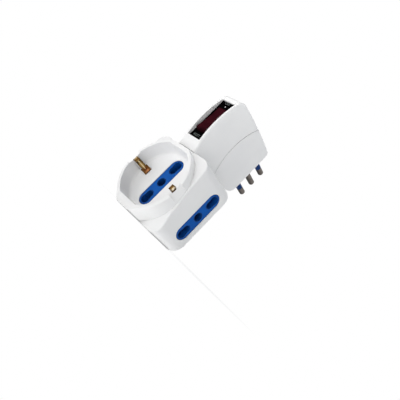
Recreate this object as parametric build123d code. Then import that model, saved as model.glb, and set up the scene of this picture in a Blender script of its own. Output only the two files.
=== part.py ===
from build123d import *
import math
import os

# Plug-in multi socket adapter with a rocker overload switch.
# Frame: the origin is on the earth pin's axis, where the pin leaves the plug's back face (the wall plane).
# +Y points into the wall, along the pins. +Z is up on the wall. The front of the adapter faces -Y.
# All lengths are in millimetres.

# Plug pins
PIN_DIAMETER = 4.0
PIN_REACH = 19.0
PIN_PITCH = 9.5
PIN_TIP = 1.2
PIN_ROOT_DIAMETER = 4.4
PIN_NECK_DIAMETER = 3.1
PIN_FLANGE_DIAMETER = 6.4
PIN_FLANGE_THICKNESS = 1.5
PIN_TAIL_DIAMETER = 3.2
PIN_TAIL_LENGTH = 5.0
SLEEVE_REACH = 12.2

# Socket inserts: a central earth hole, and two outer holes that each take a near thin pin or a far thick pin
EARTH_HOLE = 5.2
NEAR_HOLE = 4.6
NEAR_HOLE_OFFSET = 9.5
FAR_HOLE = 5.4
FAR_HOLE_OFFSET = 13.0
INSERT_LENGTH = 34.0
INSERT_WIDTH = 9.8
INSERT_DEPTH = 8.0
INSERT_INSET = 0.15
INSERT_FLANGE = 1.2
INSERT_FLANGE_THICKNESS = 1.6
INSERT_EDGE_ROUND = 0.3

# Socket block
BLOCK_WIDTH = 48.0
BLOCK_ABOVE = 24.0
BLOCK_BELOW = 25.0
SOCKET_DROP = 48.5
FLOOR_STANDOFF = 42.3
BLOCK_STANDOFF = 15.4
SHOULDER_STANDOFF = 47.5
SHOULDER_RADIUS = 140.0
LOWER_CORNER_RADIUS = 8.5
UPPER_CORNER_RADIUS = 7.0
SHOULDER_EDGE_ROUND = 0.7
BACK_EDGE_ROUND = 1.6
SIDE_SOCKET_STANDOFF = 25.3
WALL = 2.2

# Round recess and its collar
RECESS_DEPTH = 9.7
RECESS_RADIUS = 21.5
RECESS_DRAFT = 1.0
RECESS_FLOOR_ROUND = 1.5
COLLAR_WALL = 2.1
COLLAR_FLAT_WALL = 2.7
COLLAR_TOP_GAP = 1.4
COLLAR_FOOT_HALF_WIDTH = 6.5
COLLAR_FOOT_RADIUS = 6.0
COLLAR_RIM_ROUND = 0.7
NOTCH_WIDTH = 8.6
NOTCH_INNER_DEPTH = 1.2
NOTCH_OUTER_DEPTH = 6.4

# Back cover of the block
COVER_THICKNESS = 2.0
COVER_LEDGE = 1.0
COVER_LIP_THICKNESS = 1.2
COVER_LIP_HEIGHT = 1.4
BOSS_RADIUS = 2.4
BOSS_X = 10.0
BOSS_EDGE = 4.4
SCREW_RADIUS = 1.2
SCREW_LENGTH = 9.0
SCREW_HEAD_RADIUS = 2.1
SCREW_HEAD_HEIGHT = 1.3
SCREW_DRIVE_WIDTH = 0.7
SCREW_DRIVE_DEPTH = 0.6
SCREW_DRIVE_LENGTH = 2.9
SCREW_END_ROOM = 1.0
NECK_SCREW_X = 3.1

# Plug body
PLUG_CROWN_STANDOFF = 51.3
ARCH_RADIUS = 65.0
ARCH_DROP = 0.6
SEAM_DEPTH = 21.3
SEAM_GAP = 0.25
PIN_TOP_MARGIN = 7.5
PIN_HEEL_MARGIN = 9.6
BROW_HEIGHT = 5.2
PLUG_HALF_WIDTH = 10.0
PLUG_WIDEST_STANDOFF = 21.0
PLUG_SIDE_RADIUS = 154.0
PLUG_BROW_RADIUS = 4.5
PLUG_BACK_RADIUS = 3.0
PLUG_HEEL_RADIUS = 7.0
PLUG_EDGE_ROUND = 1.1
PLUG_WALL = 2.0
TONGUE_THICKNESS = 1.0
TONGUE_REACH = 2.2
PASSAGE_HALF_WIDTH = 6.2
PASSAGE_FRONT_STANDOFF = 30.5

# Switch
SWITCH_LENGTH = 29.2
SWITCH_WIDTH = 11.0
SWITCH_RISE = 7.1
SWITCH_STANDOFF = 48.4
FRAME_THICKNESS = 1.6
CASE_DEPTH = 17.0
CASE_WALL = 0.75
CASE_MARGIN = 0.9
CASE_FLOOR = 1.2
ROCKER_SWING_RADIUS = 11.2
ROCKER_WIDTH = 8.0
ROCKER_OFFSET = 1.4
ROCKER_THROW = 12.0
ROCKER_DISH_RADIUS = 60.0
ROCKER_RISE = 0.35
ROCKER_SKIRT = 1.8
ROCKER_WALL = 1.0
ROCKER_EDGE_ROUND = 0.3
PIVOT_DEPTH = 3.4
PIVOT_RADIUS = 0.75
LAMP_RADIUS = 1.9
LAMP_LENGTH = 9.0
RESISTOR_RADIUS = 1.1
RESISTOR_LENGTH = 6.0
TERMINAL_WIDTH = 4.0
TERMINAL_THICKNESS = 0.8
TERMINAL_REACH = 4.0
TERMINAL_SPREAD = 9.0
BIMETAL_THICKNESS = 0.6
BIMETAL_HEIGHT = 8.0

# Contact strips, earth bracket and leads
STRIP_THICKNESS = 0.8
LEAF_GAP = 5.6
LEAF_HALF_HEIGHT = 4.5
LEAF_LENGTH = 5.4
TAB_WIDTH = 2.8
BRACKET_WIDTH = 4.8
BRACKET_HOLE = 5.8
BRACKET_EYE_RADIUS = 5.0
CLIP_NECK_WIDTH = 3.2
CLIP_ROOT_INSET = 6.9
CLIP_LEAF_INSET = 4.2
CLIP_LEAN = 0.4
CLIP_FOOT_HEIGHT = 2.6
CLIP_HEIGHT = 8.9
CLIP_TIP_RISE = 0.3
CLIP_CHANNEL_DEPTH = 0.6
CLIP_BRIDGE = 2.6
LEAD_RADIUS = 1.1
LEAD_SPREAD = 4.5
LEAD_BEND = 3.0

# Fits
FIT_CLEARANCE = 0.1
RUNNING_CLEARANCE = 0.05
MOVING_CLEARANCE = 0.35

# Places worked out from the sizes above
SOCKET_Z = -SOCKET_DROP
BLOCK_TOP = SOCKET_Z + BLOCK_ABOVE
BLOCK_BOTTOM = SOCKET_Z - BLOCK_BELOW
BLOCK_HALF = BLOCK_WIDTH / 2
FLOOR_Y = -FLOOR_STANDOFF
RIM_Y = FLOOR_Y - RECESS_DEPTH
BLOCK_BACK_Y = -BLOCK_STANDOFF
SHOULDER_Y = -SHOULDER_STANDOFF
SIDE_SOCKET_Y = -SIDE_SOCKET_STANDOFF
COLLAR_RADIUS = RECESS_RADIUS + COLLAR_WALL
COLLAR_TOP = BLOCK_ABOVE - COLLAR_TOP_GAP
RECESS_FLAT = COLLAR_TOP - COLLAR_FLAT_WALL
CAVITY_FRONT_Y = FLOOR_Y + WALL
COVER_INNER_Y = BLOCK_BACK_Y - COVER_THICKNESS
ARCH_CENTRE_Y = ARCH_RADIUS - PLUG_CROWN_STANDOFF
SEAM_RADIUS = ARCH_RADIUS - SEAM_DEPTH
PLUG_BOTTOM = BLOCK_TOP
PLUG_HEEL = -PIN_PITCH - PIN_HEEL_MARGIN
SWITCH_Y = -SWITCH_STANDOFF
SWITCH_BOTTOM = PLUG_BOTTOM + SWITCH_RISE
SWITCH_HEIGHT = SWITCH_BOTTOM + SWITCH_LENGTH / 2
SWITCH_TOP = SWITCH_BOTTOM + SWITCH_LENGTH
PLUG_TOP = max(PIN_PITCH + PIN_TOP_MARGIN, SWITCH_TOP + BROW_HEIGHT)
ARCH_HEIGHT = SWITCH_HEIGHT - ARCH_DROP
ROCKER_HEIGHT = SWITCH_HEIGHT + ROCKER_OFFSET
CASE_BACK_Y = SWITCH_Y + CASE_DEPTH
CASE_INNER_Y = CASE_BACK_Y - CASE_FLOOR
ROOM_WIDTH = ROCKER_WIDTH + 2 * MOVING_CLEARANCE
CASE_WIDTH = ROOM_WIDTH + 2 * CASE_WALL
CASE_LENGTH = SWITCH_LENGTH - 2 * CASE_MARGIN
PIVOT_Y = SWITCH_Y + PIVOT_DEPTH
UPPER_TERMINAL_Z = SWITCH_HEIGHT + TERMINAL_SPREAD
LOWER_TERMINAL_Z = SWITCH_HEIGHT - TERMINAL_SPREAD
PASSAGE_FRONT_Y = -PASSAGE_FRONT_STANDOFF
PIN_INNER_Y = -PLUG_WALL - PIN_FLANGE_THICKNESS
PIN_TAIL_Y = PIN_INNER_Y - PIN_TAIL_LENGTH
OUTER_HOLE_OFFSET = (NEAR_HOLE_OFFSET + FAR_HOLE_OFFSET) / 2
BRACKET_Y = FLOOR_Y + INSERT_DEPTH + FIT_CLEARANCE
LEAF_FRONT_Y = BRACKET_Y + STRIP_THICKNESS + FIT_CLEARANCE
LEAF_SIDE_X = BLOCK_HALF - INSERT_DEPTH - FIT_CLEARANCE
LEAF_OUTER = LEAF_GAP / 2 + STRIP_THICKNESS
LEAD_Y = SIDE_SOCKET_Y + LEAF_OUTER + MOVING_CLEARANCE + LEAD_RADIUS
PASSAGE_BACK_Y = LEAD_Y + LEAD_RADIUS + MOVING_CLEARANCE
CLIP_ROOT_X = RECESS_RADIUS - CLIP_ROOT_INSET
CLIP_LEAF_X = RECESS_RADIUS - CLIP_LEAF_INSET
OVERCUT = 1.0


def along_x(shape, x_from, x_to, y=0.0, z=0.0):
    """Prism of a flat (y, z) shape, from one x to another."""
    plane = Plane(origin=(x_from, y, z), x_dir=(0, 1, 0), z_dir=(1, 0, 0))
    return extrude(plane * shape, amount=x_to - x_from)


def along_y(shape, y_from, y_to, x=0.0, z=0.0):
    """Prism of a flat (x, z) shape, from one y to a larger one."""
    plane = Plane(origin=(x, y_to, z), x_dir=(1, 0, 0), z_dir=(0, -1, 0))
    return extrude(plane * shape, amount=y_to - y_from)


def along_z(shape, z_from, z_to, x=0.0, y=0.0):
    """Prism of a flat (x, y) shape, from one z to a larger one."""
    return extrude(Plane(origin=(x, y, z_from)) * shape, amount=z_to - z_from)


def box_between(low, high):
    """Box with the given lowest and highest corners."""
    size = [b - a for a, b in zip(low, high)]
    centre = [(a + b) / 2 for a, b in zip(low, high)]
    return Pos(*centre) * Box(*size)


def upright_slot(length, width):
    """Flat slot shape with round ends, standing along the second axis."""
    return SlotOverall(length, width, rotation=90)


def nearest_vertex(shape, point):
    """The vertex of a flat shape that lies nearest to a point."""
    return shape.vertices().sort_by_distance((*point, 0))[0]


# Socket block


def shoulder_y(z):
    """Front of the block's curved shoulder at a height."""
    return SHOULDER_Y + SHOULDER_RADIUS - math.sqrt(SHOULDER_RADIUS**2 - (BLOCK_TOP - z) ** 2)


def shoulder_profile(setback):
    """Side view (y, z) of the block, with its shoulder moved back by a wall."""
    low = (shoulder_y(BLOCK_BOTTOM) + setback, BLOCK_BOTTOM)
    middle = (shoulder_y(SOCKET_Z) + setback, SOCKET_Z)
    high = (shoulder_y(BLOCK_TOP) + setback, BLOCK_TOP)
    back_high = (BLOCK_BACK_Y, BLOCK_TOP)
    back_low = (BLOCK_BACK_Y, BLOCK_BOTTOM)
    return make_face([ThreePointArc(low, middle, high), Polyline(high, back_high, back_low, low)])


def block_outline(inset):
    """Front view (x, z) of the block about the socket axis, with rounder lower corners."""
    half = BLOCK_HALF - inset
    low = -BLOCK_BELOW + inset
    high = BLOCK_ABOVE - inset
    outline = make_face(Polyline((-half, low), (half, low), (half, high), (-half, high), close=True))
    for side in (-1, 1):
        outline = fillet(nearest_vertex(outline, (side * half, low)), LOWER_CORNER_RADIUS - inset)
        outline = fillet(nearest_vertex(outline, (side * half, high)), UPPER_CORNER_RADIUS - inset)
    return outline


def collar_outline():
    """Front view of the collar: a circle with a flat top, widened into a foot on the block's lower face."""
    foot_reach = math.hypot(COLLAR_FOOT_HALF_WIDTH, BLOCK_BELOW)
    foot_angle = math.atan2(COLLAR_FOOT_HALF_WIDTH, BLOCK_BELOW)
    tangent_angle = foot_angle + math.acos(COLLAR_RADIUS / foot_reach)
    tangent_x = COLLAR_RADIUS * math.sin(tangent_angle)
    tangent_z = -COLLAR_RADIUS * math.cos(tangent_angle)
    foot = make_face(
        Polyline(
            (-COLLAR_FOOT_HALF_WIDTH, -BLOCK_BELOW),
            (COLLAR_FOOT_HALF_WIDTH, -BLOCK_BELOW),
            (tangent_x, tangent_z),
            (-tangent_x, tangent_z),
            close=True,
        )
    )
    for side in (-1, 1):
        corner = nearest_vertex(foot, (side * COLLAR_FOOT_HALF_WIDTH, -BLOCK_BELOW))
        foot = fillet(corner, COLLAR_FOOT_RADIUS)
    window_middle = (COLLAR_TOP - BLOCK_BELOW) / 2
    window = Pos(0, window_middle) * Rectangle(2 * COLLAR_RADIUS, COLLAR_TOP + BLOCK_BELOW)
    return (Circle(COLLAR_RADIUS) & window) + foot


def recess_outline():
    """Front view of the recess: a circle with a flat at each end of the hole line."""
    return Circle(RECESS_RADIUS) & Rectangle(2 * RECESS_RADIUS, 2 * RECESS_FLAT)


def recess_space():
    """The space of the recess, narrowing to its floor, with the floor's edge rounded."""
    plane = Plane(origin=(0, RIM_Y, SOCKET_Z), x_dir=(1, 0, 0), z_dir=(0, 1, 0))
    space = extrude(plane * recess_outline(), amount=RECESS_DEPTH, taper=RECESS_DRAFT)
    floor_edges = space.faces().sort_by(Axis.Y)[-1].edges()
    return fillet(floor_edges, RECESS_FLOOR_ROUND)


def notch_profile():
    """Top view (x, y) of the notch in the collar's side, sloping down from the recess to the block's side."""
    slope = (NOTCH_OUTER_DEPTH - NOTCH_INNER_DEPTH) / (BLOCK_HALF - RECESS_RADIUS)
    inner_x = RECESS_RADIUS - OVERCUT
    outer_x = BLOCK_HALF + OVERCUT
    inner_y = RIM_Y + NOTCH_INNER_DEPTH - slope * OVERCUT
    outer_y = RIM_Y + NOTCH_OUTER_DEPTH + slope * OVERCUT
    front = RIM_Y - slope * OVERCUT
    corners = [(inner_x, front), (inner_x, inner_y), (outer_x, outer_y), (outer_x, front)]
    return make_face(Polyline(*corners, close=True))


def insert_places():
    """Where the three socket inserts go: by name, the location of the insert's own frame."""
    return {
        "front_socket_insert": Pos(0, FLOOR_Y, SOCKET_Z),
        "right_socket_insert": Pos(BLOCK_HALF, SIDE_SOCKET_Y, SOCKET_Z) * Rot(0, 0, 90),
        "left_socket_insert": Pos(-BLOCK_HALF, SIDE_SOCKET_Y, SOCKET_Z) * Rot(0, 0, -90),
    }


def insert_window():
    """Space for one insert, in the insert's own frame: a slot through the wall and a seat for the flange."""
    slot = along_y(upright_slot(INSERT_LENGTH, INSERT_WIDTH), -WALL, INSERT_DEPTH)
    flange_length = INSERT_LENGTH + 2 * INSERT_FLANGE + 2 * FIT_CLEARANCE
    flange_width = INSERT_WIDTH + 2 * INSERT_FLANGE + 2 * FIT_CLEARANCE
    seat = along_y(upright_slot(flange_length, flange_width), WALL, INSERT_DEPTH)
    return slot + seat


def socket_insert():
    """One insert in its own frame: face at y = 0, holes running along +Y."""
    length = INSERT_LENGTH - 2 * FIT_CLEARANCE
    width = INSERT_WIDTH - 2 * FIT_CLEARANCE
    body = along_y(upright_slot(length, width), INSERT_INSET, INSERT_DEPTH)
    body = fillet(body.faces().sort_by(Axis.Y)[0].edges(), INSERT_EDGE_ROUND)
    flange_shape = upright_slot(INSERT_LENGTH + 2 * INSERT_FLANGE, INSERT_WIDTH + 2 * INSERT_FLANGE)
    body += along_y(flange_shape, WALL, WALL + INSERT_FLANGE_THICKNESS)
    holes = Circle(EARTH_HOLE / 2)
    for side in (-1, 1):
        waist_length = FAR_HOLE_OFFSET - NEAR_HOLE_OFFSET
        holes += Pos(0, side * NEAR_HOLE_OFFSET) * Circle(NEAR_HOLE / 2)
        holes += Pos(0, side * FAR_HOLE_OFFSET) * Circle(FAR_HOLE / 2)
        holes += Pos(0, side * OUTER_HOLE_OFFSET) * Rectangle(NEAR_HOLE - FIT_CLEARANCE, waist_length)
    return body - along_y(holes, -OVERCUT, INSERT_DEPTH + OVERCUT)


def boss_places():
    """Centres (x, z) of the four screw bosses behind the back cover."""
    return [
        (side * BOSS_X, z)
        for side in (-1, 1)
        for z in (BLOCK_BOTTOM + BOSS_EDGE, BLOCK_TOP - BOSS_EDGE)
    ]


def passage():
    """Space for the leads through the wall between the block and the plug body."""
    low = (-PASSAGE_HALF_WIDTH, PASSAGE_FRONT_Y, BLOCK_TOP - 2 * WALL)
    high = (PASSAGE_HALF_WIDTH, PASSAGE_BACK_Y, PLUG_BOTTOM + 2 * PLUG_WALL)
    return box_between(low, high)


def neck_screw_places():
    """Centres (x, y) of the two screws that hold the plug body on the block."""
    y = (CAVITY_FRONT_Y + PASSAGE_FRONT_Y) / 2
    return [(side * NECK_SCREW_X, y) for side in (-1, 1)]


def socket_housing():
    """Front moulding of the block: shoulder, collar, recess, walls and bosses, open at the back."""
    block = along_x(shoulder_profile(0), -BLOCK_HALF, BLOCK_HALF)
    block &= along_y(block_outline(0), RIM_Y, BLOCK_BACK_Y, z=SOCKET_Z)
    back = block.faces().sort_by(Axis.Y)[-1]
    block = fillet(back.edges(), BACK_EDGE_ROUND)
    shoulder = block.faces().sort_by(Axis.Y)[0]
    block = fillet(shoulder.edges(), SHOULDER_EDGE_ROUND)
    collar = along_y(collar_outline(), RIM_Y, CAVITY_FRONT_Y, z=SOCKET_Z)
    collar = fillet(collar.faces().sort_by(Axis.Y)[0].edges(), COLLAR_RIM_ROUND)
    body = block + collar
    cavity = along_y(block_outline(WALL), CAVITY_FRONT_Y, BLOCK_BACK_Y, z=SOCKET_Z)
    cavity &= along_x(shoulder_profile(WALL), -BLOCK_HALF, BLOCK_HALF)
    body -= cavity
    body -= along_y(block_outline(COVER_LEDGE), COVER_INNER_Y, BLOCK_BACK_Y, z=SOCKET_Z)
    for x, z in boss_places():
        body += along_y(Circle(BOSS_RADIUS), CAVITY_FRONT_Y, COVER_INNER_Y, x, z) & cavity
    for x, z in boss_places():
        body -= along_y(Circle(SCREW_RADIUS), COVER_INNER_Y - SCREW_LENGTH, COVER_INNER_Y, x, z)
    body -= recess_space()
    notch = along_z(notch_profile(), SOCKET_Z - NOTCH_WIDTH / 2, SOCKET_Z + NOTCH_WIDTH / 2)
    body -= notch
    body -= mirror(notch, Plane.YZ)
    for place in insert_places().values():
        body -= place * insert_window()
    for space in bracket_spaces():
        body -= space
    body -= passage()
    for x, y in neck_screw_places():
        body -= along_z(Circle(SCREW_RADIUS + FIT_CLEARANCE), BLOCK_TOP - 2 * WALL, BLOCK_TOP + OVERCUT, x, y)
    return body


def back_cover():
    """Flat cover in the block's back, with a locating lip and countersunk holes."""
    inset = COVER_LEDGE + FIT_CLEARANCE
    cover = along_y(block_outline(inset), COVER_INNER_Y, BLOCK_BACK_Y, z=SOCKET_Z)
    lip_inset = WALL + FIT_CLEARANCE
    lip_ring = block_outline(lip_inset) - block_outline(lip_inset + COVER_LIP_THICKNESS)
    lip = along_y(lip_ring, COVER_INNER_Y - COVER_LIP_HEIGHT, COVER_INNER_Y, z=SOCKET_Z)
    for x, z in boss_places():
        room = BOSS_RADIUS + FIT_CLEARANCE
        lip -= along_y(Circle(room), COVER_INNER_Y - COVER_LIP_HEIGHT, COVER_INNER_Y, x, z)
    cover += lip
    for x, z in boss_places():
        cover -= along_y(Circle(SCREW_RADIUS + FIT_CLEARANCE), COVER_INNER_Y - OVERCUT, BLOCK_BACK_Y, x, z)
        head_seat = BLOCK_BACK_Y - SCREW_HEAD_HEIGHT
        cover -= along_y(Circle(SCREW_HEAD_RADIUS + FIT_CLEARANCE), head_seat, BLOCK_BACK_Y + OVERCUT, x, z)
    return cover


def screw(length):
    """Pan-head screw with a cross drive, in its own frame: head top at z = 0, shank along -Z."""
    body = Pos(0, 0, -SCREW_HEAD_HEIGHT / 2) * Cylinder(SCREW_HEAD_RADIUS, SCREW_HEAD_HEIGHT)
    body += Pos(0, 0, -SCREW_HEAD_HEIGHT - length / 2) * Cylinder(SCREW_RADIUS - FIT_CLEARANCE, length)
    for turn in (0, 90):
        groove = Box(SCREW_DRIVE_LENGTH, SCREW_DRIVE_WIDTH, SCREW_DRIVE_DEPTH)
        body -= Pos(0, 0, -SCREW_DRIVE_DEPTH / 2) * Rot(0, 0, turn) * groove
    return body


def cover_screws():
    """The four screws of the back cover, heads towards the wall."""
    shank = COVER_THICKNESS - SCREW_HEAD_HEIGHT + SCREW_LENGTH - SCREW_END_ROOM
    turned = Rot(-90, 0, 0) * screw(shank)
    return [Pos(x, BLOCK_BACK_Y, z) * turned for x, z in boss_places()]


def neck_screws():
    """The two screws from inside the block up into the plug body."""
    turned = Rot(180, 0, 0) * screw(WALL + PLUG_WALL + BOSS_RADIUS)
    z = BLOCK_TOP - WALL - SCREW_HEAD_HEIGHT
    return [Pos(x, y, z) * turned for x, y in neck_screw_places()]


# Plug body


def arch_y(z, radius):
    """Front of an arch about the plug's arch centre at a height."""
    return ARCH_CENTRE_Y - math.sqrt(radius**2 - (z - ARCH_HEIGHT) ** 2)


def plug_profile(inset):
    """Side view (y, z) of the plug body, drawn in by a wall."""
    radius = ARCH_RADIUS - inset
    bottom = PLUG_BOTTOM + inset
    top = PLUG_TOP - inset
    back = -inset
    low = (arch_y(bottom, radius), bottom)
    high = (arch_y(top, radius), top)
    back_high = (back, top)
    back_low = (back, PLUG_HEEL + inset)
    heel = (BLOCK_BACK_Y, bottom)
    face = make_face(
        [
            ThreePointArc(low, (arch_y(ARCH_HEIGHT, radius), ARCH_HEIGHT), high),
            Polyline(high, back_high, back_low, heel, low),
        ]
    )
    face = fillet(nearest_vertex(face, high), PLUG_BROW_RADIUS - inset)
    face = fillet(nearest_vertex(face, back_high), max(PLUG_BACK_RADIUS - inset, FIT_CLEARANCE))
    return fillet(nearest_vertex(face, back_low), max(PLUG_HEEL_RADIUS - inset, FIT_CLEARANCE))


def plug_plan(inset):
    """Top view (x, y) of the plug body: sides that bulge gently towards the middle of its depth."""
    reach = PLUG_CROWN_STANDOFF + WALL
    radius = PLUG_SIDE_RADIUS - inset
    widest = PLUG_HALF_WIDTH - inset

    def half_width(y):
        return widest - radius + math.sqrt(radius**2 - (y + PLUG_WIDEST_STANDOFF) ** 2)

    front, back = -reach, WALL
    right = ThreePointArc(
        (half_width(front), front), (widest, -PLUG_WIDEST_STANDOFF), (half_width(back), back)
    )
    left = ThreePointArc(
        (-half_width(back), back), (-widest, -PLUG_WIDEST_STANDOFF), (-half_width(front), front)
    )
    ends = [Line(right @ 1, left @ 0), Line(left @ 1, right @ 0)]
    return make_face([right, left, *ends])


def plug_form(inset):
    """Closed form of the plug body, drawn in by a wall."""
    side = along_x(plug_profile(inset), -PLUG_HALF_WIDTH, PLUG_HALF_WIDTH)
    plan = along_z(plug_plan(inset), PLUG_BOTTOM - WALL, PLUG_TOP + WALL)
    return side & plan


def seam_cylinder(radius):
    """Cylinder across the plug body, about the arch centre: its surface is the parting seam."""
    turned = Rot(0, 90, 0) * Cylinder(radius, 2 * PLUG_HALF_WIDTH + 2 * OVERCUT)
    return Pos(0, ARCH_CENTRE_Y, ARCH_HEIGHT) * turned


def plug_shell():
    """Both halves of the plug body together, hollow, with rounded edges."""
    outer = plug_form(0)
    base = PLUG_BOTTOM + FIT_CLEARANCE
    edges = [e for e in outer.edges() if e.center().Z > base and abs(e.center().X) > SWITCH_WIDTH / 2]
    outer = fillet(edges, PLUG_EDGE_ROUND)
    return outer - plug_form(PLUG_WALL)


def switch_window():
    """Space for the switch through the front of the plug body."""
    half_width = SWITCH_WIDTH / 2 + FIT_CLEARANCE
    half_length = SWITCH_LENGTH / 2 + FIT_CLEARANCE
    low = (-half_width, -PLUG_CROWN_STANDOFF - OVERCUT, SWITCH_HEIGHT - half_length)
    high = (half_width, CASE_BACK_Y, SWITCH_HEIGHT + half_length)
    return box_between(low, high)


def plug_front_shell():
    """Front half of the plug body: the arched front with the switch window."""
    shell = plug_shell() - seam_cylinder(SEAM_RADIUS + SEAM_GAP / 2)
    inside = plug_form(PLUG_WALL)
    boss_top = SWITCH_BOTTOM - MOVING_CLEARANCE
    for x, y in neck_screw_places():
        shell += along_z(Circle(BOSS_RADIUS), PLUG_BOTTOM + PLUG_WALL, boss_top, x, y) & inside
    shell -= switch_window()
    shell -= passage()
    for x, y in neck_screw_places():
        hole_top = PLUG_BOTTOM + PLUG_WALL + BOSS_RADIUS + FIT_CLEARANCE
        shell -= along_z(Circle(SCREW_RADIUS), PLUG_BOTTOM - OVERCUT, hole_top, x, y)
    return shell


def plug_rear_shell():
    """Rear half of the plug body: the wall face with the pin holes, and a tongue into the front half."""
    shell = plug_shell() & seam_cylinder(SEAM_RADIUS - SEAM_GAP / 2)
    root = plug_form(PLUG_WALL - TONGUE_THICKNESS / 2) - plug_form(PLUG_WALL + TONGUE_THICKNESS)
    root &= seam_cylinder(SEAM_RADIUS - SEAM_GAP / 2) - seam_cylinder(SEAM_RADIUS - TONGUE_REACH)
    tongue = plug_form(PLUG_WALL + FIT_CLEARANCE) - plug_form(PLUG_WALL + TONGUE_THICKNESS)
    tongue &= seam_cylinder(SEAM_RADIUS + TONGUE_REACH) - seam_cylinder(SEAM_RADIUS - TONGUE_REACH)
    shell += root
    shell += tongue
    shell -= passage()
    for step in (-1, 0, 1):
        hole = Circle(PIN_ROOT_DIAMETER / 2 + FIT_CLEARANCE)
        shell -= along_y(hole, -PLUG_WALL - OVERCUT, OVERCUT, z=step * PIN_PITCH)
    return shell


# Pins


def pin(step):
    """Round plug pin at a place in the row: free end, root in the shell, flange inside it and tail."""
    radius = PIN_DIAMETER / 2
    free_from = SLEEVE_REACH if step else 0
    root_radius = PIN_NECK_DIAMETER / 2 if step else PIN_ROOT_DIAMETER / 2
    body = along_y(Circle(radius), free_from, PIN_REACH)
    body = fillet(body.faces().sort_by(Axis.Y)[-1].edges(), PIN_TIP)
    body += along_y(Circle(root_radius), -PLUG_WALL, free_from)
    body += along_y(Circle(PIN_FLANGE_DIAMETER / 2), PIN_INNER_Y, -PLUG_WALL)
    body += along_y(Circle(PIN_TAIL_DIAMETER / 2), PIN_TAIL_Y, PIN_INNER_Y)
    return Pos(0, 0, step * PIN_PITCH) * body


def pin_sleeve(step):
    """Insulating sleeve on the neck of an outer pin, flush with the pin, with a thicker root in the shell."""
    sleeve = along_y(Circle(PIN_DIAMETER / 2), -PLUG_WALL, SLEEVE_REACH)
    sleeve += along_y(Circle(PIN_ROOT_DIAMETER / 2), -PLUG_WALL, 0)
    sleeve -= along_y(Circle(PIN_NECK_DIAMETER / 2 + FIT_CLEARANCE / 2), -PLUG_WALL, SLEEVE_REACH)
    return Pos(0, 0, step * PIN_PITCH) * sleeve


def pin_carrier():
    """Bar inside the rear shell that presses the pin flanges against the wall."""
    length = 2 * PIN_PITCH + PIN_FLANGE_DIAMETER + 2 * CASE_WALL
    width = PIN_FLANGE_DIAMETER + 2 * CASE_WALL
    thickness = PIN_FLANGE_THICKNESS + CASE_WALL
    bar = along_y(upright_slot(length, width), -PLUG_WALL - thickness, -PLUG_WALL)
    for step in (-1, 0, 1):
        flange = Circle(PIN_FLANGE_DIAMETER / 2 + FIT_CLEARANCE)
        tail = Circle(PIN_TAIL_DIAMETER / 2 + FIT_CLEARANCE)
        bar -= along_y(flange, PIN_INNER_Y, -PLUG_WALL, z=step * PIN_PITCH)
        bar -= along_y(tail, -PLUG_WALL - thickness - OVERCUT, -PLUG_WALL, z=step * PIN_PITCH)
    return bar


# Switch


def switch_frame():
    """Flat frame of the switch, flush with the ends of the arch, with the rocker's window."""
    plate = Rectangle(SWITCH_WIDTH, SWITCH_LENGTH)
    window = Rectangle(ROOM_WIDTH, 2 * ROCKER_SWING_RADIUS + 2 * MOVING_CLEARANCE)
    plate -= Pos(0, ROCKER_HEIGHT - SWITCH_HEIGHT) * window
    return along_y(plate, SWITCH_Y, SWITCH_Y + FRAME_THICKNESS, z=SWITCH_HEIGHT)


def switch_case():
    """Open box behind the frame that carries the pivot and the switch's works."""
    front = SWITCH_Y + FRAME_THICKNESS
    case = along_y(Rectangle(CASE_WIDTH, CASE_LENGTH), front, CASE_BACK_Y, z=SWITCH_HEIGHT)
    room = Rectangle(ROOM_WIDTH, CASE_LENGTH - 2 * CASE_WALL)
    case -= along_y(room, front - OVERCUT, CASE_INNER_Y, z=SWITCH_HEIGHT)
    for z in (UPPER_TERMINAL_Z, LOWER_TERMINAL_Z):
        slot = Rectangle(TERMINAL_WIDTH + FIT_CLEARANCE, TERMINAL_THICKNESS + FIT_CLEARANCE)
        case -= along_y(slot, CASE_INNER_Y - OVERCUT, CASE_BACK_Y + OVERCUT, z=z)
    hole = Circle(PIVOT_RADIUS + RUNNING_CLEARANCE)
    return case - along_x(hole, -CASE_WIDTH, CASE_WIDTH, PIVOT_Y, ROCKER_HEIGHT)


def rocker_form(inset):
    """Rocker in its middle position about its pivot: round ends, a dished top and a flat skirt."""
    dish_radius = ROCKER_DISH_RADIUS + inset
    dish_centre = -(PIVOT_DEPTH + ROCKER_RISE + ROCKER_DISH_RADIUS)
    profile = Circle(ROCKER_SWING_RADIUS - inset) - Pos(dish_centre, 0) * Circle(dish_radius)
    skirt = ROCKER_SKIRT if inset == 0 else ROCKER_SWING_RADIUS
    swing = 2 * ROCKER_SWING_RADIUS
    profile &= Pos(skirt - ROCKER_SWING_RADIUS, 0) * Rectangle(swing, swing)
    half = ROCKER_WIDTH / 2 - inset
    return along_x(profile, -half, half)


def rocker():
    """Hollow rocker on its pivot, resting with its lower end raised."""
    body = rocker_form(0)
    top = body.faces().sort_by(Axis.Y)[0]
    body = fillet(top.edges(), ROCKER_EDGE_ROUND)
    body -= rocker_form(ROCKER_WALL)
    body -= along_x(Circle(PIVOT_RADIUS + RUNNING_CLEARANCE), -ROCKER_WIDTH, ROCKER_WIDTH)
    return Pos(0, PIVOT_Y, ROCKER_HEIGHT) * Rot(-ROCKER_THROW / 2, 0, 0) * body


def rocker_pivot():
    """Steel pin through the case that the rocker turns on."""
    return along_x(Circle(PIVOT_RADIUS), -CASE_WIDTH / 2, CASE_WIDTH / 2, PIVOT_Y, ROCKER_HEIGHT)


def terminal(z):
    """Flat brass terminal through the floor of the switch case."""
    blade = Rectangle(TERMINAL_WIDTH, TERMINAL_THICKNESS)
    return along_y(blade, CASE_INNER_Y - TERMINAL_REACH, CASE_BACK_Y + TERMINAL_REACH, z=z)


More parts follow.
